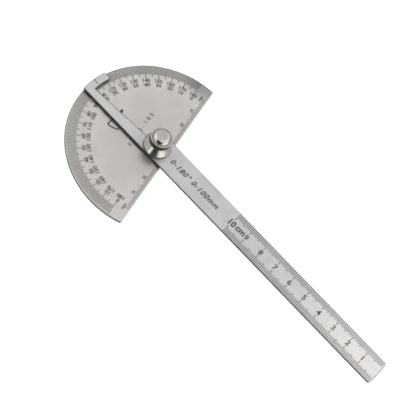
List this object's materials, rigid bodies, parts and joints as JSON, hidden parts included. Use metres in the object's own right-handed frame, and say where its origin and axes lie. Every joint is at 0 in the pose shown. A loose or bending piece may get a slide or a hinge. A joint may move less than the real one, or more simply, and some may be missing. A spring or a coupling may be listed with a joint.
{
  "type": "protractor with ruler arm",
  "caption": "Flat half-round steel protractor with a straight ruler arm that swings on a stud and is locked by a turned thumb nut.",
  "frame": {"origin": "on the pivot axis, on the flat back face of the pivot stud's head, which the tool rests on", "axes": "+X square to the plate's straight edge, away from the graduated arc; +Y along the straight edge; +Z along the pivot, from the stud's head to the thumb nut"},
  "size_m": [0.1956, 0.091, 0.014],
  "materials": {
    "etched_steel": "satin stainless sheet with dark etched graduations",
    "turned_steel": "turned, lightly polished",
    "plated_nut": "bright nickel plate on a turned nut"
  },
  "bodies": {
    "plate": {"protractor_plate": "etched_steel", "pivot_stud": "turned_steel", "spacer_washer": "turned_steel"},
    "arm": {"ruler_arm": "etched_steel"},
    "washer": {"clamp_washer": "turned_steel"},
    "nut": {"thumb_nut": "plated_nut"}
  },
  "joints": [
    {"name": "arm_swing", "type": "hinge", "parent": "plate", "child": "arm", "pos_m": [0, 0, 0.0029], "axis": [0, 0, 1], "continuous": true},
    {"name": "nut_lift", "type": "slide", "parent": "plate", "child": "washer", "axis": [0, 0, 1], "range_m": [0, 0.0042]},
    {"name": "nut_turn", "type": "hinge", "parent": "washer", "child": "nut", "pos_m": [0, 0, 0.0038], "axis": [0, 0, 1], "range_deg": [0, 2160]}
  ],
  "couplings": [
    {"joint": "nut_lift", "follows": "nut_turn", "m_per_rad": 0.00011141}
  ]
}
